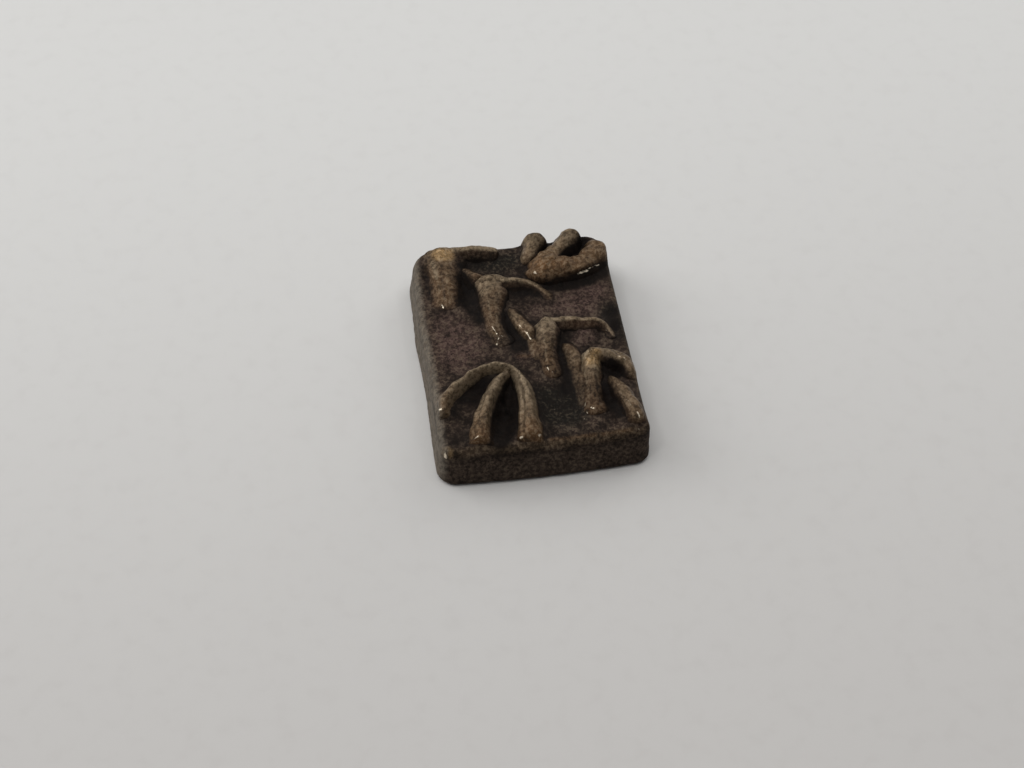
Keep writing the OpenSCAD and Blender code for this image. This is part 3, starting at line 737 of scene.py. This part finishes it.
patina = {
    "brown": (0.017, 0.0115, 0.0095), "umber": (0.050, 0.034, 0.026), "plum": (0.074, 0.046, 0.039),
    "ash": (0.013, 0.0125, 0.0107), "tan": (0.116, 0.081, 0.050), "pale": (0.225, 0.172, 0.113),
    "rust": (0.115, 0.062, 0.029), "gold": (0.205, 0.130, 0.060), "sootAndShade": (0.006, 0.005, 0.0048),
    # silt stands for dust and a painted sheen on the left edge
    "side": (0.051, 0.037, 0.029), "siltAndSheen": (0.15, 0.13, 0.105), "dust": (0.20, 0.155, 0.105),
    # bright is the colour of the painted highlights
    "pit": (0.012, 0.009, 0.007), "bright": (0.75, 0.65, 0.50),
    # noises: cells per mm, detail, shift, and how broken they are
    "mottle": (0.7, 4, 0.0, 0.6), "speck": (1.5, 4, 0.3, 0.6), "grain": (2.7, 3, 0.7, 0.75),
    # patches: least share, rise, and the noise levels between which they rise
    "plumPatch": (0.3, 0.7, 0.35, 0.6), "ashPatch": (0.75, 0.25, 0.4, 0.6),
    "rubPatch": (0.45, 0.55, 0.34, 0.62), "rustPatch": (0.5, 0.5, 0.35, 0.6),
    "sidePatch": (0.6, 0.4, 0.3, 0.6), "siltPatch": (0.45, 0.5, 0.3, 0.65),
    "darkPatch": (0.5, 0.5, 0.65, 0.4), "sootAndShadePatch": (0.85, 0.15, 0.3, 0.7),
    "pitPatch": (0.5, 0.3, 0.6, 0.4), "dustPatch": (0.4, 0.6, 0.4, 0.6), "glintPatch": (0.5, 0.5, 0.3, 0.6),
    # noise levels between which these show
    "umberLevels": (0.38, 0.62), "goldLevels": (0.2, 0.5), "streakLevels": (0.35, 0.6),
    "pitLevels": (0.4, 0.53), "dustLevels": (0.5, 0.6), "glintLevels": (0.4, 0.8),
    "rustWear": (0.6, 0.4), "goldWear": (0.3, 0.7), "dustWear": (0.3, 0.4),  # least share, and rise with wear
    "hollowShadeShare": 0.9, "spotShadeShare": 1.3, "creaseShadeShare": 0.8, "sootAndShadeCleared": 0.9,  # shade painted into hollows, spots and creases, partly dark patina; the last is for crests
    "pitsDusted": 0.5, "pitsWorn": 0.2, "dustLostToShade": 0.9, "dustShare": 0.8,
    "rubGloss": 0.14, "goldGloss": 0.12, "glintGloss": 0.3, "grainRough": 0.2,  # off and onto the roughness
    "goldMetal": 0.3, "glintMetal": 0.3, "specular": 0.02,
    "pitDepth": 0.08, "speckHeight": 0.5,  # mm, and share of the coarser noise in the bump
}


def castPatina(name, look):
    # brown patina: mottled, dusty and rubbed on the crests with painted light, black with painted shade in
    # the hollows, with painted glints and a fine cast grain
    look = {**patina, **look}
    material = bpy.data.materials.new(name)
    material.use_nodes = True
    tree = material.node_tree
    bsdf = tree.nodes["Principled BSDF"]
    make = Shade(tree)
    place = make.node("ShaderNodeTexCoord", {}, {}, "Object")

    def noise(perMm, detail, shift, broken):
        # a noise on object coordinates, moved aside by the shift
        spot = make.node("ShaderNodeVectorMath", {"operation": "ADD"}, {0: place, 1: (shift, shift, shift)})
        inputs = {"Vector": spot, "Scale": perMm / mm, "Detail": detail, "Roughness": broken}
        return make.node("ShaderNodeTexNoise", {}, inputs)

    def mark(attribute):
        # a mark kept on the mesh's points
        return make.node("ShaderNodeAttribute", {"attribute_name": attribute}, {}, "Fac")

    def patchy(key, level):
        # least share plus a rise, as a noise goes from one level to the other
        least, rise, start, end = look[key]
        return least + rise * level.step(start, end)

    def rising(key, amount):
        # least share plus a rise times the amount of wear
        least, rise = look[key]
        return least + rise * amount

    mottle, speck, grain = (noise(*look[key]) for key in ("mottle", "speck", "grain"))
    swing = grain - 0.5  # the grain about its middle level
    crest, dustyAndSheen = mark("crest"), mark("dustyAndSheen")
    low = 1 - crest
    brown = make.node("ShaderNodeMix", {"data_type": "RGBA"}, {
        0: mottle.step(*look["umberLevels"]), 6: (*look["brown"], 1), 7: (*look["umber"], 1)}, 2)
    brown = brown.tint(look["plum"], mark("plum") * low * patchy("plumPatch", speck))
    brown = brown.tint(look["ash"], mark("ash") * low * patchy("ashPatch", speck))
    # rubbed crests and rim: wear, and on the threads also painted light on the side turned by the lean
    worn = make.node("ShaderNodeClamp", {}, {0: crest + mark("rim")})
    rubbedAndLit = worn * patchy("rubPatch", speck)
    brown = brown.tint(look["tan"], rubbedAndLit)
    brown = brown.tint(look["rust"], mark("rust") * patchy("rustPatch", mottle) * rising("rustWear", crest))
    brown = brown.tint(look["pale"], mark("pale") * rubbedAndLit)
    gold = mark("gold") * rising("goldWear", worn) * mottle.step(*look["goldLevels"])
    brown = brown.tint(look["gold"], gold)
    brown = brown.tint(look["side"], mark("flank") * patchy("sidePatch", mottle))
    # dust and a painted sheen on the left-facing edge
    brown = brown.tint(look["siltAndSheen"], dustyAndSheen * patchy("siltPatch", speck))
    # pale and dark streaks: partly streaky patina, partly painted light and painted shade
    brown = brown.tint(look["pale"], mark("pale streak and painted light") * speck.step(*look["streakLevels"]))
    brown = brown.tint(look["brown"], mark("dark streak and painted shade") * patchy("darkPatch", speck))
    # painted shade in the hollows, creases and soot spots, partly dark patina
    spots = look["spotShadeShare"] * mark("sootAndShade") * (1 - look["sootAndShadeCleared"] * crest)
    sootAndShade = look["hollowShadeShare"] * mark("hollow") + spots + look["creaseShadeShare"] * mark("creaseShade")
    sootyAndShaded = make.node("ShaderNodeClamp", {}, {0: sootAndShade})
    brown = brown.tint(look["sootAndShade"], sootyAndShaded * patchy("sootAndShadePatch", speck))
    pitted = (1 - grain.step(*look["pitLevels"])) * patchy("pitPatch", mottle)
    pitted = pitted * (1 - look["pitsDusted"] * dustyAndSheen) * (1 - look["pitsWorn"] * worn)
    brown = brown.tint(look["pit"], pitted)
    dust = grain.step(*look["dustLevels"]) * rising("dustWear", worn) * patchy("dustPatch", mottle)
    brown = brown.tint(look["dust"], dust * (1 - look["dustLostToShade"] * sootyAndShaded) * look["dustShare"])
    # painted highlights, with less roughness and more metal
    paintedGlint = (mark("paintedGlint") * patchy("glintPatch", speck) + swing).step(*look["glintLevels"])
    brown = brown.tint(look["bright"], paintedGlint)
    pits = make.node("ShaderNodeBump", {}, {
        "Strength": look["grainDepth"], "Distance": look["pitDepth"] * mm,
        "Height": grain + look["speckHeight"] * speck})
    matt = look["rough"] - look["rubGloss"] * rubbedAndLit - look["goldGloss"] * gold - look["glintGloss"] * paintedGlint
    for socket, value in {
        "Base Color": brown,
        "Roughness": matt + look["grainRough"] * swing,
        "Metallic": look["metal"] * worn + look["goldMetal"] * gold + look["glintMetal"] * paintedGlint,
        "Normal": pits,
    }.items():
        tree.links.new(value.socket, bsdf.inputs[socket])
    bsdf.inputs["Specular IOR Level"].default_value = look["specular"]
    return material


slabBrass = castPatina("slabBrass", {"grainDepth": 1.0, "rough": 0.55, "metal": 0.3})
threadBrass = castPatina("threadBrass", {"grainDepth": 0.9, "rough": 0.5, "metal": 0.35})
finishes = {"slab_brass": slabBrass, "thread_brass": threadBrass}
print("finishes mixed:", len(finishes))


def setPiece(name, form):
    # puts a form's points and faces into a mesh, with its marks, in place of the node of that name
    mesh = bpy.data.meshes.new(name)
    faces = [face for group in form["faces"] for face in group.tolist()]
    mesh.from_pydata((form["points"] * mm).tolist(), [], faces)
    mesh.polygons.foreach_set("use_smooth", np.ones(len(mesh.polygons), bool))
    for mark, values in surfaceMarks(form).items():
        layer = mesh.attributes.new(mark, "FLOAT", "POINT")
        layer.data.foreach_set("value", values.astype(np.float32))
    mesh.update()
    piece = bpy.data.objects.new(name + "_cast", mesh)
    bpy.context.scene.collection.objects.link(piece)
    slotName = "slab_brass" if name == "base_slab" else "thread_brass"
    mesh.materials.append(finishes[slotName])
    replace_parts(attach(piece, "root"), name)


for name, form in forms.items():
    setPiece(name, form)
print("pieces set:", len(forms))

# paper floor, painted darker towards the front
paper = {
    "size": 1.2, "colour": (0.61, 0.605, 0.59), "near": (0.48, 0.465, 0.45),
    "fade": (-70, 60),  # mm along Y between which the near colour, a painted shade darker towards the front, gives way
    "fleck": 0.12, "fleckPerMm": 0.5, "fleckDetail": 4.0, "fleckLevels": (0.45, 0.8),
    "rough": 0.9, "specular": 0.1,
}
half = paper["size"] / 2
floorMesh = bpy.data.meshes.new("paper")
corners = [(-half, -half, 0), (half, -half, 0), (half, half, 0), (-half, half, 0)]
floorMesh.from_pydata(corners, [], [(0, 1, 2, 3)])
floor = bpy.data.objects.new("paper", floorMesh)
bpy.context.scene.collection.objects.link(floor)
paperFinish = bpy.data.materials.new("paper")
paperFinish.use_nodes = True
make = Shade(paperFinish.node_tree)
place = make.node("ShaderNodeTexCoord", {}, {}, "Object")
fleck = make.node("ShaderNodeTexNoise", {}, {
    "Vector": place, "Scale": paper["fleckPerMm"] / mm, "Detail": paper["fleckDetail"]})
along = make.node("ShaderNodeSeparateXYZ", {}, {0: place}, "Y")
far = along.step(*(at * mm for at in paper["fade"]))
# towards the front the mix leans to the near colour, a painted shade; the flecks add to it
near = 1 - far + paper["fleck"] * fleck.step(*paper["fleckLevels"])
shade = make.node("ShaderNodeMix", {"data_type": "RGBA"}, {
    0: near, 6: (*paper["colour"], 1), 7: (*paper["near"], 1)}, 2)
bsdf = paperFinish.node_tree.nodes["Principled BSDF"]
paperFinish.node_tree.links.new(shade.socket, bsdf.inputs["Base Color"])
bsdf.inputs["Roughness"].default_value = paper["rough"]
bsdf.inputs["Specular IOR Level"].default_value = paper["specular"]
floorMesh.materials.append(paperFinish)

# light: a soft dome, brighter behind; a ceiling, a window on either side and two small lamps in front
dome = {"dark": 0.1, "bright": 0.62, "towards": (-0.2, 0.95, 0.25), "turn": (-0.6, 0.5), "backdrop": 0.62}
world = bpy.data.worlds.new("dome")
bpy.context.scene.world = world
world.use_nodes = True
sky = world.node_tree
make = Shade(sky)
ray = make.node("ShaderNodeTexCoord", {}, {}, "Generated")
facing = make.node(
    "ShaderNodeVectorMath", {"operation": "DOT_PRODUCT"}, {0: ray, 1: dome["towards"]}, "Value")
glow = dome["dark"] + (dome["bright"] - dome["dark"]) * facing.step(*dome["turn"])
rayKinds = ("Is Camera Ray", "Is Glossy Ray", "Is Transmission Ray")
rays = [make.node("ShaderNodeLightPath", {}, {}, kind) for kind in rayKinds]
seen = make.node("ShaderNodeClamp", {}, {0: sum(rays)})
glow = glow * (1 - seen) + dome["backdrop"] * seen
sky.nodes["Background"].inputs["Color"].default_value = (1, 1, 1, 1)
sky.links.new(glow.socket, sky.nodes["Background"].inputs["Strength"])

lamps = {  # place and size in metres, and watts
    "ceiling": ((-0.12, 0.1, 0.8), 0.6, 2.2),
    "leftWindow": ((-0.66, 0.4, 0.4), 0.6, 3.4),
    "rightWindow": ((0.6, 0.5, 0.4), 0.6, 1.6),
    "leftLamp": ((-0.3, -0.12, 0.65), 0.04, 0.25),
    "rightLamp": ((0.3, -0.12, 0.65), 0.04, 0.2),
}


def lamp(name, at, size, watts):
    # a square lamp that faces the weight
    light = bpy.data.lights.new(name, "AREA")
    light.size = size
    light.energy = watts
    holder = bpy.data.objects.new(name, light)
    back = np.array(at) / np.linalg.norm(at)
    right = np.cross((0, 0, 1), back)
    right /= np.linalg.norm(right)
    axes = np.column_stack([right, np.cross(back, right), back, at])
    holder.matrix_world = Matrix([*axes.tolist(), (0, 0, 0, 1)])
    bpy.context.scene.collection.objects.link(holder)


for name, setting in lamps.items():
    lamp(name, *setting)

# camera at the photograph's viewing angle: place in mm, axes as right, up and back
view = {
    "at": (-19.16, -119.9, 140.79), "lens": 63.75, "sensor": 36, "nearest": 0.01,
    "right": (0.9892, -0.1465, 0.0012), "up": (0.111, 0.7542, 0.6472), "back": (-0.0957, -0.6401, 0.7623),
}
camera = bpy.data.objects.new("camera", bpy.data.cameras.new("camera"))
camera.data.lens = view["lens"]
camera.data.sensor_width = view["sensor"]
camera.data.clip_start = view["nearest"]
axes = np.column_stack([view["right"], view["up"], view["back"], np.array(view["at"]) * mm])
camera.matrix_world = Matrix([*axes.tolist(), (0, 0, 0, 1)])
bpy.context.scene.collection.objects.link(camera)
bpy.context.scene.camera = camera
bpy.context.scene.view_settings.view_transform = "Standard"
print("light and camera set")

bpy.context.view_layer.update()
